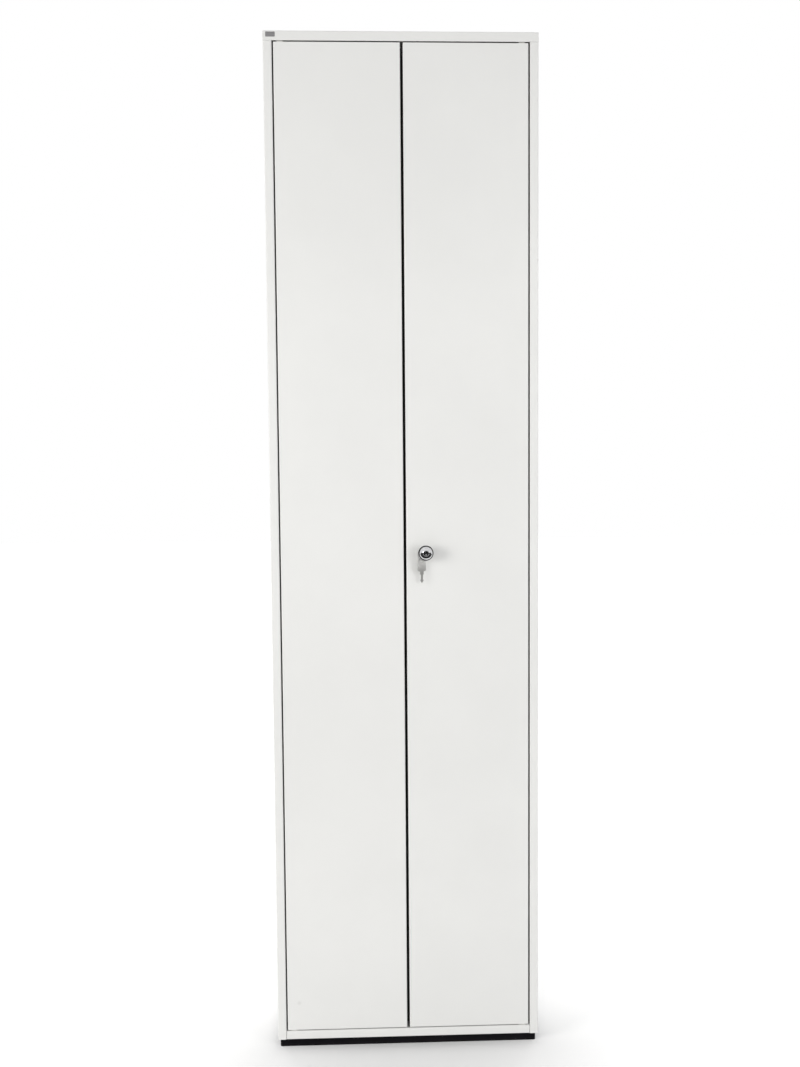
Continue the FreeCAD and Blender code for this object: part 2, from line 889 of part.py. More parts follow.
def ring_corner(step, corner):
    """Corner of the key ring's wire section, a number of facets round the ring."""
    around = math.radians(360 / ring_facets * step)
    across = math.radians(360 / wire_facets * corner)
    out = ring_inner_radius + ring_wire_radius + ring_wire_radius * math.cos(across)
    level = ring_wire_radius * math.sin(across)
    return FreeCAD.Vector(out * math.cos(around), out * math.sin(around), level)


def key_ring():
    """Wire ring that hangs on the knob's neck, in straight facets."""
    faces = []
    for step in range(ring_facets):
        for corner in range(wire_facets):
            places = ((step, corner), (step + 1, corner), (step + 1, corner + 1), (step, corner + 1))
            loop = [ring_corner(*place) for place in places]
            faces.append(Part.Face(Part.makePolygon([*loop, loop[0]])))
    shell = Part.makeShell(faces)
    shell.sewShape()
    return on_lock(Part.makeSolid(shell).translated(ring_middle()))


def key():
    """Flat key that hangs on the ring, turned a little from the door's plane."""
    half_bow = bow_width / 2
    half_collar = collar_width / 2
    half_blade = blade_width / 2
    half_waist = blade_waist / 2
    collar_end = bow_height + collar_height
    blade_end = collar_end + blade_length
    tip = blade_end - blade_tip
    waist_end = tip - half_blade
    side = [
        (half_bow, 0, bow_top_radius),
        (half_bow, bow_height, bow_bottom_radius),
        (half_collar, bow_height, 0),
        (half_collar, collar_end, 0),
        (half_waist, collar_end, 0),
        (half_waist, waist_end, 0),
        (half_blade, tip - half_waist / 2, 0),
        (half_blade, tip, 0),
    ]
    outline = [*side, (0, blade_end, 0), *[(-x, y, radius) for x, y, radius in side[::-1]]]
    points = [FreeCAD.Vector(x, -y, -key_thickness / 2) for x, y, radius in outline]
    face = rounded_loop(points, [radius for x, y, radius in outline])
    blank = face.extrude(UP * key_thickness)
    hole_y = -bow_hole_wall - bow_hole_height / 2
    hole_z = about(0, 2 * key_thickness)
    hole = block(about(0, bow_hole_width), about(hole_y, bow_hole_height), hole_z)
    hole = hole.makeFillet(bow_hole_height / 2 - turn_gap, edges_along(hole, "z"))
    hung = blank.cut(hole)
    hung.translate(FreeCAD.Vector(0, -hole_y - key_drop, 0))
    hung.rotate(ORIGIN, INWARD, key_turn)
    lean = math.radians(key_lean)
    wire_middle = ring_inner_radius + ring_wire_radius
    on_wire = FreeCAD.Vector(-wire_middle * math.sin(lean), -wire_middle * math.cos(lean), 0)
    hung.translate(ring_middle() + on_wire)
    return on_lock(hung)


def slot_level(index):
    """Lower edge of a numbered slot in the shelf strips."""
    return first_slot + index * slot_rise


def shelf_low(index):
    """Underside of a shelf whose clips sit in the numbered slots."""
    return slot_level(index) + clip_thickness


def strip_middles():
    """Depth of the front and the back shelf strip."""
    return (front + strip_front, back - strip_back)


def shelf_strip(wall, side, middle, top):
    """Slotted channel on a wall; side is 1 where the room lies towards +X."""
    near, far = about(0, strip_width)
    web = strip_depth
    low = floor_top + strip_foot
    outline = [(0, near), (web, near), (web, far), (0, far)]
    strip = folded_sheet(outline, ACROSS, INWARD, UP * (top - low), UP * low, bend=0)
    slots = []
    level = first_slot
    while level + slot_height < top - slot_rise / 2:
        slot_x = (web - 2 * sheet, web + overrun)
        slots.append(block(slot_x, about(0, slot_width), (level, level + slot_height)))
        level += slot_rise
    strip = strip.cut(Part.makeCompound(slots))
    if side < 0:
        strip = mirrored(strip)
    return strip.translated(FreeCAD.Vector(wall, middle, 0))


def wall_strips():
    """Front and back strip on the left side wall."""
    wall = left + sheet
    top = soffit - strip_top_gap
    return [shelf_strip(wall, 1, middle, top) for middle in strip_middles()]


def divider_strips():
    """Front and back strip on the divider."""
    top = shelf_low(top_shelf_slot) - strip_foot
    return [shelf_strip(divider_face, 1, middle, top) for middle in strip_middles()]


def shelf(x, index):
    """Folded shelf between two walls of strips, at the numbered slots."""
    low = shelf_low(index)
    room = (x[0] + shelf_end_gap, x[1] - shelf_end_gap)
    z = (low, low + shelf_thickness)
    return folded_pan(room, shelf_depth, z, "-z", shelf_flange, "x", False)


def side_bay():
    """Width between the divider's strips and the right wall's strips."""
    return (divider_face + strip_depth, web_x)


def shelf_clip(web, side, middle, index):
    """Clip hooked through a slot of the strip, with a ledge under the shelf."""
    low = slot_level(index)
    high = low + clip_thickness
    tail = -sheet - clip_tail
    profile = [
        (tail, low),
        (0, low),
        (0, low - clip_leg),
        (clip_thickness, low - clip_leg),
        (clip_thickness, low),
        (clip_ledge, low),
        (clip_ledge, high),
        (tail, high),
    ]
    start = middle - clip_width / 2
    points = [FreeCAD.Vector(web + side * out, start, level) for out, level in profile]
    face = Part.Face(Part.makePolygon([*points, points[0]]))
    return face.extrude(INWARD * clip_width)


def shelf_clips():
    """All clips: four under the top shelf and four under each side shelf."""
    clips = []
    for middle in strip_middles():
        clips.append(shelf_clip(-web_x, 1, middle, top_shelf_slot))
        clips.append(shelf_clip(web_x, -1, middle, top_shelf_slot))
        for index in side_shelf_slots:
            clips.append(shelf_clip(side_bay()[0], 1, middle, index))
            clips.append(shelf_clip(side_bay()[1], -1, middle, index))
    return clips


def divider():
    """Upright folded partition between the broom bay and the side shelves."""
    x = (divider_face - divider_thickness, divider_face)
    z = (floor_top, shelf_low(top_shelf_slot) - fit_gap)
    return folded_pan(x, shelf_depth, z, "-x", divider_flange, "z", False)


def rail_level():
    """Height of the hook rail's middle."""
    return shelf_low(top_shelf_slot) - rail_drop


def rail_start():
    """Left end of the hook rail."""
    return left + sheet + strip_depth + rail_end_gap


def hook_rail():
    """Channel on the back panel that carries the broom hooks."""
    low, high = about(rail_level(), rail_height)
    face = back_face - rail_depth
    outline = [(back_face, high), (face, high), (face, low), (back_face, low)]
    run = ACROSS * rail_length
    return folded_sheet(outline, INWARD, UP, run, ACROSS * rail_start(), bend=0)


def broom_hook(x):
    """Hook bent from flat strip: a plate on the rail, an arm and a turned-up end."""
    face = back_face - rail_depth
    high = rail_level() + hook_plate_height / 2
    low = rail_level() - hook_plate_height / 2
    tip = face - hook_reach
    outline = [(tip, low + hook_rise), (tip, low), (face, low), (face, high)]
    start = ACROSS * (x - hook_width / 2)
    return folded_sheet(outline, INWARD, UP, ACROSS * hook_width, start, hook_thickness, 0)


def broom_hooks():
    """Row of hooks evenly spaced along the rail."""
    pitch = rail_length / hook_count
    first = rail_start() + pitch / 2
    return [broom_hook(first + index * pitch) for index in range(hook_count)]


def all_pieces():
    """Every piece of the cupboard under its own name."""
    pieces = {
        "left_side_panel": side_panel(),
        "right_side_panel": mirrored(side_panel()),
        "top_panel": top_panel(),
        "door_head": door_head(),
        "floor_panel": floor_panel(),
        "back_panel": back_panel(),
        "plinth": plinth(),
        "foot_nuts": foot_nuts(),
        "floor_plugs": floor_plugs(),
        "hinge_bushes": hinge_bushes(),
        "door_buffers": door_buffers(),
        "magnet_catch": magnet_catch(),
        "rod_keepers": rod_keepers(),
        "left_door_panel": door_panel(),
        "left_door_stiffener": door_stiffener(),
        "left_door_pivots": door_pivots(-pivot_x),
        "dust_seal": dust_seal(),
        "right_door_panel": right_door_panel(),
        "right_door_stiffener": mirrored(door_stiffener()),
        "right_door_pivots": door_pivots(pivot_x),
        "lock_barrel": lock_barrel(),
        "lock_clip": lock_clip(),
        "rod_guides": rod_guides(),
        "knob": knob(),
        "knob_grip": knob_grip(),
        "crank": crank(),
        "latch_tongue": latch_tongue(),
        "tongue_screw": tongue_screw(),
        "lock_cylinder": lock_cylinder(),
        "upper_rod": locking_rod(-1),
        "upper_rod_end": rod_end(-1),
        "lower_rod": locking_rod(1),
        "lower_rod_end": rod_end(1),
        "key_ring": key_ring(),
        "key": key(),
        "left_shelf_strips": wall_strips(),
        "right_shelf_strips": [mirrored(strip) for strip in wall_strips()],
        "divider_shelf_strips": divider_strips(),
        "divider": divider(),
        "top_shelf": shelf((-web_x, web_x), top_shelf_slot),
        "shelf_clips": shelf_clips(),
        "hook_rail": hook_rail(),
        "broom_hooks": broom_hooks(),
    }
    for name, index in zip(("lower", "middle", "upper"), side_shelf_slots):
        pieces[f"{name}_side_shelf"] = shelf(side_bay(), index)
    for corner, (x, y) in foot_points().items():
        pieces[f"levelling_foot_{corner}"] = levelling_foot(x, y)
    return pieces


os.makedirs("parts", exist_ok=True)
for name, piece in all_pieces().items():
    shape = Part.makeCompound(piece) if isinstance(piece, list) else piece
    shape.exportStep(f"parts/{name}.step")
    print(name, len(shape.Solids), round(shape.Volume), shape.isValid())
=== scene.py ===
import json
import math

import bmesh
import bpy
from mathutils import Matrix, Vector


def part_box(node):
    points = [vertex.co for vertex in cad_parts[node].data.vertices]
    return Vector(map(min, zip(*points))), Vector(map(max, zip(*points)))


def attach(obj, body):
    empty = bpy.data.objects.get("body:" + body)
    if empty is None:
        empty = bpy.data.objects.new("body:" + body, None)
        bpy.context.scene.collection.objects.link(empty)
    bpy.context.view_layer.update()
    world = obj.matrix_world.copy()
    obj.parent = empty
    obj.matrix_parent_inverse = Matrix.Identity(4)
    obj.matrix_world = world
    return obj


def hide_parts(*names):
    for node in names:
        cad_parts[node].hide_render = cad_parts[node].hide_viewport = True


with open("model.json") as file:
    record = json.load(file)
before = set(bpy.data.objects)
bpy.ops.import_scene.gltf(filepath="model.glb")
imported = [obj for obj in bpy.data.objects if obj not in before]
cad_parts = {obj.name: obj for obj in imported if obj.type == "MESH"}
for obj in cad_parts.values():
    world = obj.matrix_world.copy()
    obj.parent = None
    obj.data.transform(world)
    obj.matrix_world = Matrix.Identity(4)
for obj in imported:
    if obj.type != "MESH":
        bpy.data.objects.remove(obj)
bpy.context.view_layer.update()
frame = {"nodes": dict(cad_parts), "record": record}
nodes = frame["nodes"]

# Camera of the photograph: focal length in pixels of an 800 by 1067 image, places in metres, turns in radians
IMAGE_LONG_SIDE = 1067.0
FOCAL_PIXELS = 1000.0
SENSOR_MM = 36.0
CLIP_NEAR, CLIP_FAR = 0.01, 100.0
CAMERA_PLACE = (-0.0717, -2.0694, 1.1054)
CAMERA_TILT = 0.06205
CAMERA_PAN = -0.0336
CAMERA_ROLL = -0.00784

# Front plane of the doors and the carcass, and where the lock's axis meets it, in metres
FRONT = -0.21
LOCK = Vector((0.038, FRONT, 0.954))


def turn(axis, angle):
    """Rotation matrix about one axis."""
    return Matrix.Rotation(angle, 3, axis)


def set_camera():
    """Camera at the photograph's viewpoint."""
    data = bpy.data.cameras.new("photo_camera")
    data.sensor_width = SENSOR_MM
    data.lens = FOCAL_PIXELS / IMAGE_LONG_SIDE * SENSOR_MM
    data.clip_start = CLIP_NEAR
    data.clip_end = CLIP_FAR
    camera = bpy.data.objects.new("photo_camera", data)
    bpy.context.scene.collection.objects.link(camera)
    to_view = Matrix(((1, 0, 0), (0, 0, -1), (0, 1, 0)))
    across, down, ahead = turn("Z", CAMERA_ROLL) @ turn("X", CAMERA_TILT) @ turn("Y", CAMERA_PAN) @ to_view
    axes = Matrix((across, -down, -ahead)).transposed()
    camera.matrix_world = Matrix.Translation(CAMERA_PLACE) @ axes.to_4x4()
    bpy.context.scene.camera = camera


def rgb(red, green, blue):
    return (red, green, blue, 1.0)


# Values that most of a noise fills, and the turn of a normal that counts as an edge
NOISE_SPAN = (0.3, 0.7)
EDGE_SPAN = (0.02, 0.3)
BEVEL_SAMPLES = 6

# Painted shade in seams, where ambient occlusion finds a spot closed: how closed a spot is, which faces stay
# unshaded, and its start behind the front, in metres
SEAM_SPAN = (0.32, 0.47)
SEAM_SAMPLES = 4
UNSHADED_UP = (0.2, 0.8)
UNSHADED_BACK = (0.3, 0.8)
SEAM_BEHIND = (0.0003, 0.0015)
SEAM_REACH = 0.012
SEAM_SHADE_SHARE = 0.95
SEAM_SHADE_TONE = rgb(0.028, 0.025, 0.024)


class Nodes:
    """Small helper that builds the nodes of a material or a world."""

    def __init__(self, owner):
        owner.use_nodes = True
        self.tree = owner.node_tree
        self.tree.nodes.clear()

    def add(self, kind, **settings):
        node = self.tree.nodes.new(kind)
        for key, value in settings.items():
            setattr(node, key, value)
        return node

    def feed(self, socket, value):
        """Links an output to a socket, or sets the socket to a constant."""
        if isinstance(value, bpy.types.NodeSocket):
            self.tree.links.new(value, socket)
        else:
            socket.default_value = value

    def span(self, value, low, high, to_low=0.0, to_high=1.0):
        """Smooth step from one value to another, held past both ends."""
        node = self.add("ShaderNodeMapRange", interpolation_type="SMOOTHSTEP")
        self.feed(node.inputs["Value"], value)
        node.inputs["From Min"].default_value = low
        node.inputs["From Max"].default_value = high
        node.inputs["To Min"].default_value = to_low
        node.inputs["To Max"].default_value = to_high
        return node.outputs["Result"]

    def math(self, operation, first, second=0.0, clamp=False):
        node = self.add("ShaderNodeMath", operation=operation, use_clamp=clamp)
        self.feed(node.inputs[0], first)
        self.feed(node.inputs[1], second)
        return node.outputs["Value"]

    def seen(self):
        """1 for rays that show the surface itself, to the camera, in metal or through glass, and else 0."""
        rays = self.add("ShaderNodeLightPath")
        shown = self.math("ADD", rays.outputs["Is Camera Ray"], rays.outputs["Is Glossy Ray"], clamp=True)
        return self.math("ADD", shown, rays.outputs["Is Transmission Ray"], clamp=True)


class Shader(Nodes):
    """Material with a principled shader; its places and normals are those of the rest frame."""

    def __init__(self, name):
        self.material = bpy.data.materials.new(name)
        super().__init__(self.material)
        self.output = self.add("ShaderNodeOutputMaterial")
        self.bsdf = self.add("ShaderNodeBsdfPrincipled")
        self.feed(self.output.inputs["Surface"], self.bsdf.outputs["BSDF"])
        coordinates = self.add("ShaderNodeTexCoord")
        self.place = coordinates.outputs["Object"]
        self.way = coordinates.outputs["Normal"]

    def noise(self, scale, detail=2.0, rough=0.5, place=None, distortion=0.0):
        node = self.add("ShaderNodeTexNoise")
        self.feed(node.inputs["Vector"], place or self.place)
        node.inputs["Scale"].default_value = scale
        node.inputs["Detail"].default_value = detail
        node.inputs["Roughness"].default_value = rough
        node.inputs["Distortion"].default_value = distortion
        return node.outputs["Fac"]

    def stretch(self, factors):
        node = self.add("ShaderNodeMapping")
        self.feed(node.inputs["Vector"], self.place)
        node.inputs["Scale"].default_value = factors
        return node.outputs["Vector"]

    def split(self, vector):
        """The X, Y and Z outputs of a vector."""
        node = self.add("ShaderNodeSeparateXYZ")
        self.feed(node.inputs["Vector"], vector)
        return node.outputs

    def mix(self, factor, first, second):
        node = self.add("ShaderNodeMix", data_type="RGBA")
        self.feed(node.inputs["Factor"], factor)
        self.feed(node.inputs["A"], first)
        self.feed(node.inputs["B"], second)
        return node.outputs["Result"]

    def stain(self, colour, mask, share, tint):
        """Colour with a share of a tint laid over it where the mask is 1."""
        return self.mix(self.math("MULTIPLY", mask, share), colour, tint)

    def rounded(self, radius):
        """Normal that rounds sharp edges a little."""
        node = self.add("ShaderNodeBevel", samples=BEVEL_SAMPLES)
        node.inputs["Radius"].default_value = radius
        return node.outputs["Normal"]

    def edges(self, radius):
        """Mask that is 1 on sharp edges and 0 on flat faces."""
        dot = self.add("ShaderNodeVectorMath", operation="DOT_PRODUCT")
        self.feed(dot.inputs[0], self.rounded(radius))
        self.feed(dot.inputs[1], self.add("ShaderNodeNewGeometry").outputs["Normal"])
        off = self.math("SUBTRACT", 1.0, dot.outputs["Value"])
        return self.span(off, *EDGE_SPAN)

    def seams(self):
        """Mask of painted shade in narrow gaps and folds behind the front, from their ambient occlusion, but
        not on faces that look up or back.
        """
        node = self.add("ShaderNodeAmbientOcclusion", samples=SEAM_SAMPLES)
        node.inputs["Distance"].default_value = SEAM_REACH
        closed = self.span(node.outputs["AO"], *SEAM_SPAN, 1.0, 0.0)
        way = self.split(self.way)
        behind = [FRONT + depth for depth in SEAM_BEHIND]
        for mask in (
            self.span(way["Z"], *UNSHADED_UP, 1.0, 0.0),
            self.span(way["Y"], *UNSHADED_BACK, 1.0, 0.0),
            self.span(self.split(self.place)["Y"], *behind),
        ):
            closed = self.math("MULTIPLY", closed, mask)
        return closed

    def bump(self, height, distance, strength, normal):
        node = self.add("ShaderNodeBump")
        node.inputs["Strength"].default_value = strength
        node.inputs["Distance"].default_value = distance
        self.feed(node.inputs["Height"], height)
        self.feed(node.inputs["Normal"], normal)
        return node.outputs["Normal"]

    def near(self, point, inner, outer):
        """Mask round a point of the rest frame."""
        node = self.add("ShaderNodeVectorMath", operation="DISTANCE")
        self.feed(node.inputs[0], self.place)
        node.inputs[1].default_value = point
        return self.span(node.outputs["Value"], inner, outer, 1.0, 0.0)

    def set(self, **values):
        """Sets inputs of the shader, named with underscores for spaces, and gives the material."""
        for key, value in values.items():
            self.feed(self.bsdf.inputs[key.replace("_", " ")], value)
        return self.material


# Variation of roughness over paint and plastic, and the share of dust specks in paint
GLOSS_SPREAD = 0.05
DUST_SHARE = 0.1


def powder_coat(name, light, dark, worn, rough, shine, wear, marks):
    """Satin powder coat: orange peel, soft cloudiness, rubbed edges, a few chips and painted shade in the
    seams.
    """
    paint = Shader(name)
    cloud = paint.noise(scale=3.0, detail=4.0, rough=0.55)
    body = paint.mix(paint.span(cloud, *NOISE_SPAN), light, dark)
    patchy = paint.span(paint.noise(scale=55.0, detail=5.0, rough=0.65), low=0.5, high=0.72)
    chips = paint.math("MULTIPLY", paint.edges(radius=0.0012), patchy)
    body = paint.stain(body, chips, wear, worn)
    dust = paint.span(paint.noise(scale=420.0), low=0.72, high=0.8)
    body = paint.stain(body, dust, DUST_SHARE, worn)
    for point, inner, outer, share in marks:
        body = paint.stain(body, paint.near(point, inner, outer), share, worn)
    # Painted shade: gaps and folds darkened by their ambient occlusion, standing in for the shade that falls
    # in them
    body = paint.stain(body, paint.seams(), SEAM_SHADE_SHARE, SEAM_SHADE_TONE)
    peel = paint.noise(scale=640.0, rough=0.45)
    sweep = paint.noise(scale=9.0, detail=3.0)
    normal = paint.bump(peel, distance=0.00006, strength=0.35, normal=paint.rounded(radius=0.0005))
    gloss = paint.span(sweep, *NOISE_SPAN, rough - GLOSS_SPREAD, rough + GLOSS_SPREAD)
    return paint.set(Base_Color=body, Roughness=gloss, Specular_IOR_Level=shine, Normal=normal)


# Blade of the hanging key, rubbed dark by use: its middle, in metres, and its tone
RUBBED_METAL = rgb(0.42, 0.415, 0.40)
BLADE_MIDDLE_UP = 0.006
key_low, key_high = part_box("key")
blade_middle = ((key_low.x + key_high.x) / 2, (key_low.y + key_high.y) / 2, key_low.z + BLADE_MIDDLE_UP)


def plated(name, bright, dull, rough, grain, wear, rubbed=None):
    """Zinc or nickel plate: drawn grain, cloudy passivation, rubbed edges and perhaps a dark rubbed end."""
    metal = Shader(name)
    lines = metal.noise(scale=60.0, detail=4.0, rough=0.6, place=metal.stretch(grain))
    cloud = metal.noise(scale=38.0, detail=5.0, rough=0.6, distortion=0.6)
    body = metal.mix(metal.span(cloud, low=0.35, high=0.7), bright, dull)
    if rubbed:
        body = metal.mix(metal.near(*rubbed), body, RUBBED_METAL)
    body = metal.stain(body, metal.edges(radius=0.0006), wear, bright)
    gloss = metal.span(lines, low=0.25, high=0.75, to_low=rough - 0.08, to_high=rough + 0.1)
    normal = metal.bump(lines, distance=0.00004, strength=0.3, normal=metal.rounded(radius=0.0003))
    return metal.set(Base_Color=body, Metallic=1.0, Roughness=gloss, Normal=normal)


def chrome_plate(name, bright, dull, worn, wear, grain):
    """Polished chrome with faint finger marks and hairline rubs."""
    metal = Shader(name)
    smear = metal.noise(scale=140.0, detail=4.0, rough=0.6, distortion=1.2)
    hair = metal.noise(scale=900.0, detail=3.0, rough=0.6, place=metal.stretch(grain))
    body = metal.mix(metal.span(smear, low=0.4, high=0.75), bright, dull)
    body = metal.stain(body, metal.edges(radius=0.0005), wear, worn)
    gloss = metal.span(smear, low=0.35, high=0.8, to_low=0.03, to_high=0.09)
    normal = metal.bump(hair, distance=0.000006, strength=0.2, normal=metal.rounded(radius=0.0004))
    return metal.set(Base_Color=body, Metallic=1.0, Roughness=gloss, Normal=normal)


def moulded(name, light, dark, rough, shine, grain, wear):
    """Moulded plastic, rubber or foam with a fine surface and rubbed edges."""
    body = Shader(name)
    cloud = body.noise(scale=30.0, detail=4.0, rough=0.6)
    colour = body.mix(body.span(cloud, *NOISE_SPAN), light, dark)
    colour = body.stain(colour, body.edges(radius=0.0008), wear, light)
    fine = body.noise(scale=grain)
    gloss = body.span(cloud, *NOISE_SPAN, rough - GLOSS_SPREAD, rough + GLOSS_SPREAD)
    normal = body.bump(fine, distance=0.00005, strength=0.4, normal=body.rounded(radius=0.0004))
    return body.set(Base_Color=colour, Roughness=gloss, Specular_IOR_Level=shine, Normal=normal)


# Marks read from the photograph, on the front of the carcass and the left door: a place in metres, the radii
# where the mark is full and where it ends, and its share
EDGE_CHIP = ((0.2499, -0.2095, 1.4921), 0.0006, 0.0016, 0.9)
DOOR_SMUDGE = ((-0.2088, -0.21, 0.0916), 0.0005, 0.006, 0.14)

# Each finish: its recipe and the recipe's values
FINISHES = {
    "white_paint": (powder_coat, dict(
        light=rgb(0.853, 0.853, 0.836), dark=rgb(0.822, 0.822, 0.806), worn=rgb(0.36, 0.34, 0.32),
        rough=0.36, shine=0.5, wear=0.5, marks=(EDGE_CHIP, DOOR_SMUDGE),
    )),
    "black_paint": (powder_coat, dict(
        light=rgb(0.004, 0.0036, 0.005), dark=rgb(0.007, 0.0064, 0.008), worn=rgb(0.06, 0.057, 0.054),
        rough=0.5, shine=0.06, wear=0.5, marks=(),
    )),
    "chrome": (chrome_plate, dict(
        bright=rgb(0.68, 0.68, 0.69), dull=rgb(0.58, 0.58, 0.59), worn=rgb(0.80, 0.80, 0.80),
        wear=0.3, grain=(1.0, 1.0, 0.08),
    )),
    "zinc_steel": (plated, dict(
        bright=rgb(0.74, 0.75, 0.76), dull=rgb(0.62, 0.63, 0.64),
        rough=0.36, grain=(1.0, 1.0, 0.12), wear=0.5,
    )),
    "plate_metal": (plated, dict(
        bright=rgb(0.30, 0.295, 0.30), dull=rgb(0.24, 0.236, 0.24),
        rough=0.4, grain=(0.1, 1.0, 1.0), wear=0.6,
    )),
    "nickel": (plated, dict(
        bright=rgb(0.87, 0.865, 0.85), dull=rgb(0.69, 0.68, 0.66),
        rough=0.42, grain=(1.0, 1.0, 0.3), wear=0.8, rubbed=(blade_middle, 0.012, 0.034),
    )),
    "nylon": (moulded, dict(
        light=rgb(0.80, 0.79, 0.75), dark=rgb(0.72, 0.71, 0.67),
        rough=0.5, shine=0.5, grain=700.0, wear=0.3,
    )),
    "dark_plastic": (moulded, dict(
        light=rgb(0.03, 0.03, 0.03), dark=rgb(0.016, 0.016, 0.017),
        rough=0.45, shine=0.3, grain=800.0, wear=0.5,
    )),
    "rubber": (moulded, dict(
        light=rgb(0.030, 0.029, 0.029), dark=rgb(0.019, 0.0185, 0.0185),
        rough=0.75, shine=0.35, grain=900.0, wear=0.2,
    )),
    # Foam seal behind the middle gap, darker than rubber so the gap shows as deep shade: partly the seal's
    # own black, partly painted shade
    "seal_foam_and_gap_shade": (moulded, dict(
        light=rgb(0.011, 0.0105, 0.0105), dark=rgb(0.007, 0.0067, 0.0067),
        rough=0.9, shine=0.12, grain=900.0, wear=0.3,
    )),
}
MATERIALS = {name: recipe(name, **values) for name, (recipe, values) in FINISHES.items()}
SLOT_OF = {part["node"]: part["material_slot"] for part in frame["record"]["subparts"]}


def dress(piece, material):
    """Gives a piece one material in every slot."""
    if not piece.data.materials:
        piece.data.materials.append(material)
    for index in range(len(piece.data.materials)):
        piece.data.materials[index] = material


for node_name, node in nodes.items():
    dress(node, MATERIALS[SLOT_OF[node_name]])
# The dust seal's near-black is partly painted shade of the middle gap
dress(nodes["dust_seal"], MATERIALS["seal_foam_and_gap_shade"])

SMOOTH_ANGLE = math.radians(40)


def new_piece(name, build, slot, body, finish=None):
    """Smooth-shaded object from mesh code, riding on a body, in its slot's finish or its own."""
    mesh = bpy.data.meshes.new(name)
    shape = bmesh.new()
    build(shape)
    bmesh.ops.recalc_face_normals(shape, faces=shape.faces)
    for face in shape.faces:
        face.smooth = True
    for edge in shape.edges:
        if len(edge.link_faces) == 2:
            edge.smooth = edge.calc_face_angle(0.0) < SMOOTH_ANGLE
    shape.to_mesh(mesh)
    shape.free()
    piece = bpy.data.objects.new(name, mesh)
    bpy.context.scene.collection.objects.link(piece)
    mesh.materials.append(MATERIALS[finish or slot])
    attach(piece, body)
    return piece


def lathe(shape, profile, segments, place):
    """Surface of revolution through radius and level pairs; a radius of zero closes to a point."""
    rings = []
    for radius, level in profile:
        if radius == 0:
            rings.append([shape.verts.new(place(0.0, 0.0, level))])
            continue
        ring = []
        for step in range(segments):
            angle = 2 * math.pi * step / segments
            ring.append(shape.verts.new(place(radius * math.cos(angle), radius * math.sin(angle), level)))
        rings.append(ring)
    for lower, upper in zip(rings, rings[1:]):
        for step in range(segments):
            after = (step + 1) % segments
            corners = [lower[step % len(lower)], lower[after % len(lower)]]
            corners += [upper[after % len(upper)], upper[step % len(upper)]]
            unique = list(dict.fromkeys(corners))
            if len(unique) > 2:
                shape.faces.new(unique)


def skin(shape, loops):
    """Closed skin over loops of equally many vertices: both ends, then the sides."""
    shape.faces.new(loops[0])
    shape.faces.new(loops[-1])
    for lower, upper in zip(loops, loops[1:]):
        for index in range(len(lower)):
            after = (index + 1) % len(lower)
            shape.faces.new((lower[index], lower[after], upper[after], upper[index]))


def arc(middle, radius, start, end, steps):
    """Points of an arc given in degrees."""
    points = []
    for step in range(steps + 1):
        angle = math.radians(start + (end - start) * step / steps)
        points.append((middle[0] + radius * math.cos(angle), middle[1] + radius * math.sin(angle)))
    return points


# Turned sizes of the knob, in metres; levels are out of the door's front
HEAD_RADIUS = 0.0122
HEAD_BACK = 0.014
HEAD_CHAMFER = 0.0002
DOME_TOP = 0.026
DOME_BALL = 0.025
DOME_EDGE_RADIUS = 0.010
PLUG_RADIUS = 0.005
PLUG_LIP = 0.0004
BORE_END = 0.0149
TURN_GAP = 0.00005
NECK_RADIUS = 0.0075
NECK_SEAT = 0.0018
NECK_CHAMFER = 0.0004
NECK_FILLET = 0.0012
SPINDLE_RADIUS = 0.0055
SPINDLE_END = -0.0073
SQUARE = 0.006
SQUARE_END = -0.0205
TIP_SQUARE = 0.0046
TIP_END = -0.0232
BAR_CHAMFER_SHARE = 0.12
GRIP_RADIUS = 0.014
GRIP_LENGTH = 0.0042
GRIP_ROLL = 0.0008
GRIP_CHAMFER = 0.0003
TURNED_SEGMENTS = 96
DOME_STEPS = 10
ROLL_STEPS = 6
WELD_DISTANCE = 0.000001


def on_lock(right, up, out):
    """Point given from the lock's axis: to the right, up and out of the door."""
    return Vector((LOCK.x + right, LOCK.y - out, LOCK.z + up))


def square_bar(shape, half, low, high):
    """Square bar on the lock's axis with its edges broken."""
    chamfer = half * BAR_CHAMFER_SHARE
    around = []
    for across, up in ((1, 1), (-1, 1), (-1, -1), (1, -1)):
        first, second = (half, half - chamfer), (half - chamfer, half)
        pair = (first, second) if across * up > 0 else (second, first)
        around += [(across * x, up * y) for x, y in pair]
    skin(shape, [[shape.verts.new(on_lock(x, y, level)) for x, y in around] for level in (low, high)])


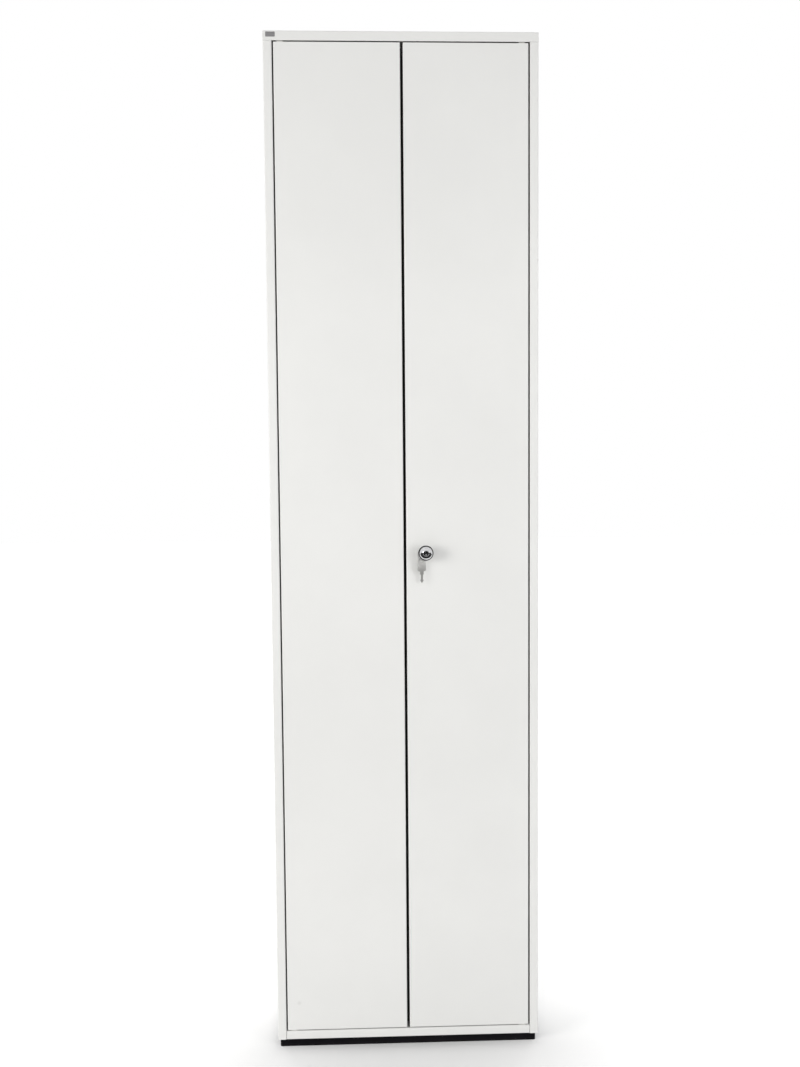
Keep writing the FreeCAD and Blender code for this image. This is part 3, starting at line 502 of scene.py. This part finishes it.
def build_knob(shape):
    """Knob turned in one piece: flat dome with a rolled rim, waisted neck, spindle and squared tail."""
    bore = PLUG_RADIUS + TURN_GAP
    middle = DOME_TOP - DOME_BALL

    def dome(radius):
        return radius, middle + math.sqrt(DOME_BALL ** 2 - radius ** 2)

    profile = [(0.0, BORE_END), (bore, BORE_END), (bore, dome(bore)[1] - PLUG_LIP)]
    for step in range(DOME_STEPS + 1):
        profile.append(dome(bore + PLUG_LIP + (DOME_EDGE_RADIUS - bore - PLUG_LIP) * step / DOME_STEPS))
    lean = DOME_EDGE_RADIUS / DOME_BALL
    rim = (HEAD_RADIUS - DOME_EDGE_RADIUS) / (1 - lean)
    rim_middle = (HEAD_RADIUS - rim, profile[-1][1] - rim * math.sqrt(1 - lean ** 2))
    profile += arc(rim_middle, rim, 90.0 - math.degrees(math.asin(lean)), 0.0, DOME_STEPS)[1:]
    profile += [(HEAD_RADIUS, HEAD_BACK + HEAD_CHAMFER), (HEAD_RADIUS - HEAD_CHAMFER, HEAD_BACK)]
    fillet_middle = (NECK_RADIUS + NECK_FILLET, HEAD_BACK - NECK_FILLET)
    profile += arc(fillet_middle, NECK_FILLET, 90.0, 180.0, ROLL_STEPS)
    profile += [
        (NECK_RADIUS, NECK_SEAT + NECK_CHAMFER),
        (NECK_RADIUS - NECK_CHAMFER, NECK_SEAT),
        (SPINDLE_RADIUS, NECK_SEAT),
        (SPINDLE_RADIUS, SPINDLE_END),
        (0.0, SPINDLE_END),
    ]
    lathe(shape, profile, TURNED_SEGMENTS, on_lock)
    square_bar(shape, SQUARE / 2, SQUARE_END, SPINDLE_END)
    square_bar(shape, TIP_SQUARE / 2, TIP_END, SQUARE_END)


def build_grip(shape):
    """Moulded grip ring with rolled edges round the knob's head."""
    front = HEAD_BACK + GRIP_LENGTH
    inner = HEAD_RADIUS + TURN_GAP
    roll_at = GRIP_RADIUS - GRIP_ROLL
    profile = [(inner, HEAD_BACK), (inner, front - GRIP_CHAMFER), (inner + GRIP_CHAMFER, front)]
    profile += arc((roll_at, front - GRIP_ROLL), GRIP_ROLL, 90.0, 0.0, ROLL_STEPS)
    profile += arc((roll_at, HEAD_BACK + GRIP_ROLL), GRIP_ROLL, 0.0, -90.0, ROLL_STEPS)
    profile.append((inner, HEAD_BACK))
    lathe(shape, profile, TURNED_SEGMENTS, on_lock)
    bmesh.ops.remove_doubles(shape, verts=shape.verts, dist=WELD_DISTANCE)


knob = new_piece("knob_turned", build_knob, "chrome", "turning_knob")
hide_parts("knob")
grip = new_piece("grip_ring", build_grip, "dark_plastic", "turning_knob")
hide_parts("knob_grip")

# Split ring that hangs on the knob's neck, in metres and degrees; the wire changes layer at the crossing
RING_WIRE = 0.0008
RING_BAND = 0.00072
RING_THICKNESS = 0.00072
RING_LAYER = 0.0004
RING_START = 95.0
RING_TURN = 660.0
RING_CROSSING = (300.0, 360.0)
RING_STEPS = 330
RING_CORNERS = 12
RING_SQUARENESS = 0.5


def squared(wave):
    """Sine or cosine drawn out towards its ends, for a section between round and square."""
    return math.copysign(abs(wave) ** RING_SQUARENESS, wave)


def build_ring(shape):
    """Flat spring wire wound nearly twice, with the step where it passes from one layer to the other."""
    low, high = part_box("key_ring")
    middle = (low + high) / 2
    mean_radius = (high.x - low.x) / 2 - RING_WIRE
    crossing, crossed = RING_CROSSING
    loops = []
    for step in range(RING_STEPS + 1):
        turned = RING_TURN * step / RING_STEPS
        share = min(1.0, max(0.0, (turned - crossing) / (crossed - crossing)))
        share = share * share * (3 - 2 * share)
        layer = RING_LAYER * (2 * share - 1)
        around = math.radians(RING_START + turned)
        loop = []
        for corner in range(RING_CORNERS):
            angle = 2 * math.pi * (corner + 0.5) / RING_CORNERS
            radius = mean_radius + squared(math.cos(angle)) * RING_BAND
            level = squared(math.sin(angle)) * RING_THICKNESS / 2
            reach = Vector((radius * math.cos(around), -layer - level, radius * math.sin(around)))
            loop.append(shape.verts.new(middle + reach))
        loops.append(loop)
    skin(shape, loops)


ring = new_piece("split_ring", build_ring, "nickel", "keys")
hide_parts("key_ring")

# Blind rivets, in metres: the head, the hole that the mandrel leaves, and the profile from rim to middle
RIVET_HEAD = 0.0032
RIVET_HEIGHT = 0.0011
RIVET_HOLE = 0.0009
RIVET_LIP = 0.0003
RIVET_SEGMENTS = 20
RIVET_PROFILE = (
    (RIVET_HEAD, 0.0),
    (RIVET_HEAD, 0.25 * RIVET_HEIGHT),
    (0.86 * RIVET_HEAD, 0.62 * RIVET_HEIGHT),
    (0.6 * RIVET_HEAD, 0.9 * RIVET_HEIGHT),
    (RIVET_HOLE + RIVET_LIP, RIVET_HEIGHT),
    (RIVET_HOLE, 0.9 * RIVET_HEIGHT),
    (RIVET_HOLE, 0.45 * RIVET_HEIGHT),
    (0.4 * RIVET_HOLE, 0.6 * RIVET_HEIGHT),
    (0.0, 0.6 * RIVET_HEIGHT),
)
TO_FRONT, TO_BACK = Vector((0, -1, 0)), Vector((0, 1, 0))


def rivets(name, body, points, way):
    """One piece with the head of a blind rivet at each point, and the sunk end of its mandrel."""
    turn_to = Vector((0, 0, 1)).rotation_difference(way)

    def build(shape):
        for point in points:
            def place(across, along, level):
                return Vector(point) + turn_to @ Vector((across, along, level))

            lathe(shape, RIVET_PROFILE, RIVET_SEGMENTS, place)

    new_piece(name, build, "zinc_steel", body)


# Rivets of the hook rail, as shares of its length
RAIL_RIVET_SHARES = (0.03, 0.31, 0.64, 0.97)
rail_low, rail_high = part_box("hook_rail")
rail_points = []
for share in RAIL_RIVET_SHARES:
    x = rail_low.x + (rail_high.x - rail_low.x) * share
    rail_points.append((x, rail_low.y, (rail_low.z + rail_high.z) / 2))
rivets("rail_rivets", "carcass", rail_points, TO_FRONT)

# Hooks bent from flat strip, in metres, and their rivets below the top edge
HOOK_WIDTH = 0.014
HOOK_THICKNESS = 0.003
HOOK_RISE = 0.018
HOOK_BEND = 0.0055
HOOK_BEND_STEPS = 8
HOOK_CHAMFER = 0.0004
HOOK_RIVET_DROPS = (0.005, 0.0145)
hooks_low, hooks_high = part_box("broom_hooks")
hook_first = hooks_low.x + HOOK_WIDTH / 2
hook_last = hooks_high.x - HOOK_WIDTH / 2
hook_middles = (hook_first, (hook_first + hook_last) / 2, hook_last)


def bend_line(points, radius, steps):
    """Open line with its square corners rounded to the left, as pairs of a point and the way left of it."""
    headings = [(second - first).normalized() for first, second in zip(points, points[1:])]
    lefts = [Vector((-heading.y, heading.x)) for heading in headings]
    line = [(points[0], lefts[0])]
    for corner, entering, leaving in zip(points[1:], lefts, lefts[1:]):
        middle = corner + (entering + leaving) * radius
        for step in range(steps + 1):
            angle = math.pi / 2 * step / steps
            left = entering * math.cos(angle) + leaving * math.sin(angle)
            line.append((middle - left * radius, left))
    line.append((points[-1], lefts[-1]))
    return line


def build_hooks(shape):
    """Three strips bent to a plate, an arm and a turned-up end, with broken edges."""
    corners = [
        Vector((hooks_low.y, hooks_low.z + HOOK_RISE)),
        Vector((hooks_low.y, hooks_low.z)),
        Vector((hooks_high.y, hooks_low.z)),
        Vector((hooks_high.y, hooks_high.z)),
    ]
    half = HOOK_WIDTH / 2
    section = [(half - HOOK_CHAMFER, 0.0), (half, HOOK_CHAMFER)]
    section += [(half, HOOK_THICKNESS - HOOK_CHAMFER), (half - HOOK_CHAMFER, HOOK_THICKNESS)]
    section += [(-across, level) for across, level in section[::-1]]
    for x in hook_middles:
        loops = []
        for point, left in bend_line(corners, HOOK_BEND, HOOK_BEND_STEPS):
            places = [(x + across, point + left * level) for across, level in section]
            loops.append([shape.verts.new((at, spot.x, spot.y)) for at, spot in places])
        skin(shape, loops)


hooks = new_piece("bent_hooks", build_hooks, "zinc_steel", "carcass")
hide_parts("broom_hooks")
hook_points = []
for x in hook_middles:
    for drop in HOOK_RIVET_DROPS:
        hook_points.append((x, rail_low.y - HOOK_THICKNESS, hooks_high.z - drop))
rivets("hook_rivets", "carcass", hook_points, TO_FRONT)

# Rivets of the back panel on the side panels' flanges, in metres
BACK_RIVET_ROWS = 9
BACK_RIVET_FROM_END = 0.045
FLANGE_MIDDLE = 0.0085
side_low, side_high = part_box("left_side_panel")
back_run = side_high.z - side_low.z - 2 * BACK_RIVET_FROM_END
back_points = []
for row in range(BACK_RIVET_ROWS):
    z = side_low.z + BACK_RIVET_FROM_END + back_run * row / (BACK_RIVET_ROWS - 1)
    for x in (side_low.x + FLANGE_MIDDLE, -side_low.x - FLANGE_MIDDLE):
        back_points.append((x, side_high.y, z))
rivets("back_rivets", "carcass", back_points, TO_BACK)

# Sealing bead over the joint of the back panel and the top, in metres; the waves are in radians a metre
BEAD_LEG = 0.0036
BEAD_UNEVEN = 0.0003
BEAD_LONG_WAVE, BEAD_SHORT_WAVE = 41.0, 97.0
BEAD_FROM_SIDE = 0.0165
BEAD_RUNS = 120
BEAD_STEPS = 6


def build_bead(shape):
    """Hollow-faced bead along the corner, a little uneven along its run."""
    back_face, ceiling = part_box("back_panel")[0].y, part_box("top_panel")[0].z
    start, end = side_low.x + BEAD_FROM_SIDE, -side_low.x - BEAD_FROM_SIDE
    loops = []
    for run in range(BEAD_RUNS + 1):
        x = start + (end - start) * run / BEAD_RUNS
        leg = BEAD_LEG + BEAD_UNEVEN * (math.sin(BEAD_LONG_WAVE * x) + math.sin(BEAD_SHORT_WAVE * x))
        section = [(0.0, 0.0)] + arc((leg, leg), leg, 270.0, 180.0, BEAD_STEPS)
        loops.append([shape.verts.new((x, back_face - out, ceiling - down)) for out, down in section])
    skin(shape, loops)


new_piece("back_seam", build_bead, "white_paint", "carcass")

# Bare plate on the top rail, where the photograph shows a small dark one, in metres
PLATE_LEFT, PLATE_RIGHT = -0.2450, -0.2281
PLATE_BOTTOM, PLATE_TOP = 1.8888, 1.8973
PLATE_THICKNESS = 0.0007
PLATE_CORNER = 0.0008
PLATE_CORNER_STEPS = 4
PLATE_LAYERS = ((0.0, 1.0), (0.6 * PLATE_THICKNESS, 1.0), (PLATE_THICKNESS, 0.965))


def build_plate(shape):
    """Thin plate with round corners and a rolled edge; each layer is a level and a share of the outline."""
    left, right = PLATE_LEFT + PLATE_CORNER, PLATE_RIGHT - PLATE_CORNER
    bottom, top = PLATE_BOTTOM + PLATE_CORNER, PLATE_TOP - PLATE_CORNER
    outline = []
    middles = ((right, top), (left, top), (left, bottom), (right, bottom))
    for middle, start in zip(middles, (0.0, 90.0, 180.0, 270.0)):
        outline += arc(middle, PLATE_CORNER, start, start + 90.0, PLATE_CORNER_STEPS)
    middle_x, middle_z = (PLATE_LEFT + PLATE_RIGHT) / 2, (PLATE_BOTTOM + PLATE_TOP) / 2
    loops = []
    for out, share in PLATE_LAYERS:
        places = [(middle_x + (x - middle_x) * share, middle_z + (z - middle_z) * share) for x, z in outline]
        loops.append([shape.verts.new((x, FRONT - out, z)) for x, z in places])
    skin(shape, loops)


new_piece("rail_plate", build_plate, "zinc_steel", "carcass", "plate_metal")

# Stage: the floor's size in metres, its tones, and its glow to the eye by the distance from the middle of a
# painted shadow, counted in the shadow's reaches; the glow is weakest before the cupboard's front, which
# paints a soft shadow there, and rises far off
FLOOR_HALF = 14.0
FLOOR_TONES = rgb(0.80, 0.80, 0.80), rgb(0.83, 0.83, 0.83)
STAGE_ROUGHNESS = 0.9
PAINTED_SHADOW_SPOT = (("X", 0.0, 0.5), ("Y", -0.25, 0.26))
GLOW_NEAR = dict(low=0.15, high=1.1, to_low=0.06, to_high=0.42)
GLOW_FAR = dict(low=1.5, high=12.0, to_low=0.0, to_high=0.24)
WORLD_LIGHT = 0.5

# Dark side of the room that the photograph's knob mirrors, in metres: two strips of floor, from a near edge
# to a far one, and a low wall, with their greys
FLAG_HALF = 6.0
FLAG_LEVEL = 0.004
FLAG_STRIPS = (("flag_near", -1.05, -2.3, 0.006), ("flag_far", -2.3, -6.0, 0.05))
FLAG_WALL, FLAG_WALL_TOP, FLAG_WALL_GREY = -6.0, 1.0, 0.03
FLAG_DARKER, FLAG_LIGHTER = 0.7, 1.3


def add_plane(name, corners, material):
    """Flat object with one face."""
    shape = bmesh.new()
    shape.faces.new([shape.verts.new(corner) for corner in corners])
    mesh = bpy.data.meshes.new(name)
    shape.to_mesh(mesh)
    shape.free()
    mesh.materials.append(material)
    plane = bpy.data.objects.new(name, mesh)
    bpy.context.scene.collection.objects.link(plane)
    return plane


def level_corners(half, near, far, level):
    """Corners of a level rectangle from a near edge to a far one."""
    return ((-half, far, level), (half, far, level), (half, near, level), (-half, near, level))


def add_flag(name, corners, grey):
    """Dark card outside the view that only shiny surfaces see."""
    card = Shader(name)
    tones = [rgb(share * grey, share * grey, share * grey) for share in (FLAG_DARKER, FLAG_LIGHTER)]
    tone = card.mix(card.span(card.noise(scale=3.0), *NOISE_SPAN), *tones)
    flag = add_plane(name, corners, card.set(Base_Color=tone, Roughness=STAGE_ROUGHNESS))
    flag.visible_camera = False
    flag.visible_diffuse = False
    flag.visible_shadow = False


def add_flags():
    """The strips and the wall of the room's dark side."""
    for name, near, far, grey in FLAG_STRIPS:
        add_flag(name, level_corners(FLAG_HALF, near, far, FLAG_LEVEL), grey)
    foot = [(-FLAG_HALF, FLAG_WALL, 0.0), (FLAG_HALF, FLAG_WALL, 0.0)]
    head = [(FLAG_HALF, FLAG_WALL, FLAG_WALL_TOP), (-FLAG_HALF, FLAG_WALL, FLAG_WALL_TOP)]
    add_flag("flag_wall", foot + head, FLAG_WALL_GREY)


def add_floor():
    """Pale floor whose glow to the eye is weaker in a painted shadow before the cupboard and stronger far
    away.
    """
    ground = Shader("studio_floor")
    tone = ground.mix(ground.span(ground.noise(scale=2.0), *NOISE_SPAN), *FLOOR_TONES)
    ground.set(Base_Color=tone, Roughness=STAGE_ROUGHNESS)
    spot = ground.split(ground.place)
    squares = []
    for axis, middle, reach in PAINTED_SHADOW_SPOT:
        off = ground.math("DIVIDE", ground.math("SUBTRACT", spot[axis], middle), reach)
        squares.append(ground.math("POWER", ground.math("ABSOLUTE", off), 2.0))
    away = ground.math("SQRT", ground.math("ADD", *squares))
    # Painted shadow: less glow near the spot's middle, laid over the floor's own shading
    lift = ground.math("ADD", ground.span(away, **GLOW_NEAR), ground.span(away, **GLOW_FAR))
    glow = ground.add("ShaderNodeEmission")
    ground.feed(glow.inputs["Strength"], ground.math("MULTIPLY", ground.seen(), lift))
    both = ground.add("ShaderNodeAddShader")
    ground.feed(both.inputs[0], ground.bsdf.outputs["BSDF"])
    ground.feed(both.inputs[1], glow.outputs["Emission"])
    ground.feed(ground.output.inputs["Surface"], both.outputs["Shader"])
    corners = level_corners(FLOOR_HALF, FLOOR_HALF, -FLOOR_HALF, 0.0)
    floor = add_plane("studio_floor", corners, ground.material)


def set_world():
    """World that is white to the eye and lights less than that."""
    world = bpy.data.worlds.new("studio")
    bpy.context.scene.world = world
    sky = Nodes(world)
    background = sky.add("ShaderNodeBackground")
    background.inputs["Color"].default_value = rgb(1.0, 1.0, 1.0)
    strength = sky.span(sky.seen(), low=0.0, high=1.0, to_low=WORLD_LIGHT, to_high=1.0)
    sky.feed(background.inputs["Strength"], strength)
    output = sky.add("ShaderNodeOutputWorld")
    sky.feed(output.inputs["Surface"], background.outputs["Background"])


def add_lamp(name, place, target, size, power, tint, lights=True, mirrored=False):
    """Soft rectangular lamp aimed at a point, and whether it lights surfaces and shows in shiny ones."""
    data = bpy.data.lights.new(name, "AREA")
    data.shape = "RECTANGLE"
    data.size, data.size_y = size
    data.energy = power
    data.color = tint
    lamp = bpy.data.objects.new(name, data)
    bpy.context.scene.collection.objects.link(lamp)
    way = Vector(target) - Vector(place)
    lamp.rotation_euler = way.to_track_quat("-Z", "Y").to_euler()
    lamp.location = place
    lamp.visible_diffuse = lights
    lamp.visible_glossy = mirrored


# Lamps: places, targets and sizes in metres, powers in watts
WARM, PLAIN = (1.0, 0.99, 0.97), (1.0, 1.0, 1.0)
REAR = dict(target=(0.0, 0.2, 1.0), size=(1.0, 1.4), power=14.0, tint=PLAIN)
LAMPS = {
    "key_left": dict(
        place=(-2.3, -1.65, 1.2), target=(-0.1, -0.2, 1.0), size=(1.0, 1.3), power=37.0, tint=WARM
    ),
    "fill_right": dict(
        place=(1.7, -1.8, 1.15), target=(0.1, -0.2, 0.95), size=(1.0, 1.4), power=17.0, tint=PLAIN
    ),
    "rear_-1": dict(place=(-1.7, 2.0, 1.5), **REAR),
    "rear_1": dict(place=(1.7, 2.0, 1.5), **REAR),
    "spark": dict(
        place=(-0.73, -2.29, 1.22), target=LOCK, size=(0.5, 0.4), power=1.6, tint=PLAIN,
        lights=False, mirrored=True,
    ),
}

bpy.context.scene.view_settings.view_transform = "Standard"
set_camera()
add_floor()
add_flags()
set_world()
for lamp_name, values in LAMPS.items():
    add_lamp(lamp_name, **values)
